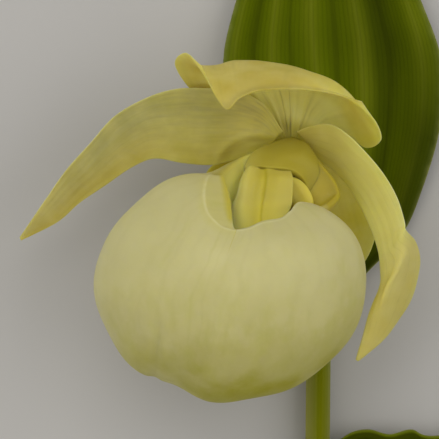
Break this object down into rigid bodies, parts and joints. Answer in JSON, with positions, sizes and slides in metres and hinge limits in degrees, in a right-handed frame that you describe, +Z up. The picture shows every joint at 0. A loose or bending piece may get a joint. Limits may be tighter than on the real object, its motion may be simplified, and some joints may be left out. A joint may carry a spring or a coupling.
{
  "type": "cypripedium orchid flowering stem",
  "caption": "Cut slipper orchid stem lying on its back: yellow-green pouched flower, drooping petals, leafy bract behind it and a broad pleated leaf.",
  "frame": {"origin": "middle of the part's box, on the surface that the stem lies on", "axes": "+Y runs up the plant from the cut end of the stem to the tip of the bract, +Z is up from the surface and the way the flower faces, +X is the side of the lower leaf"},
  "size_m": [0.1769, 0.2116, 0.0484],
  "materials": {
    "stem": "satin",
    "leaf": "satin",
    "petal": "satin",
    "pouch": "satin",
    "column": "satin"
  },
  "bodies": {
    "root": {"stem": "stem", "ovary": "stem", "bract": "leaf", "lower_leaf": "leaf", "dorsal_sepal": "petal", "synsepal": "petal", "petal_left": "petal", "petal_right": "petal", "lip_pouch": "pouch", "column": "column", "staminode": "column", "anther_left": "column", "anther_right": "column", "stigma": "column"}
  },
  "joints": []
}
